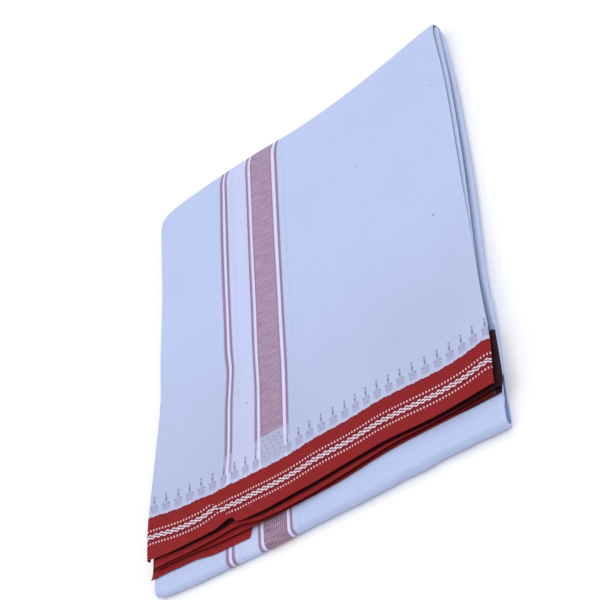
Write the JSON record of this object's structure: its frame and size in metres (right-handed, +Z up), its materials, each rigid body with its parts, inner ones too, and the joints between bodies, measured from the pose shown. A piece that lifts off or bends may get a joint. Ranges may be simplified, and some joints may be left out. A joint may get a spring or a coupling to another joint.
{
  "type": "folded dhoti cloth",
  "caption": "Cotton waist cloth folded flat into a rectangular stack, with a woven red border at its near edge, fine cross stripes and a rolled near fold.",
  "frame": {"origin": "on the floor under the middle of the folded stack", "axes": "+X along the near border, towards the side where the folds show as ridges; +Y from the border to the far fold; +Z up"},
  "size_m": [0.2742, 0.3238, 0.0157],
  "materials": {
    "white_cotton": "matt, fine plain weave",
    "red_border": "matt woven border with a faint lustre"
  },
  "bodies": {
    "root": {"top_leaf": "white_cotton", "second_leaf": "red_border", "third_leaf": "red_border", "end_leaf": "red_border", "roll_leaf": "white_cotton", "folded_core": "white_cotton"}
  },
  "joints": []
}
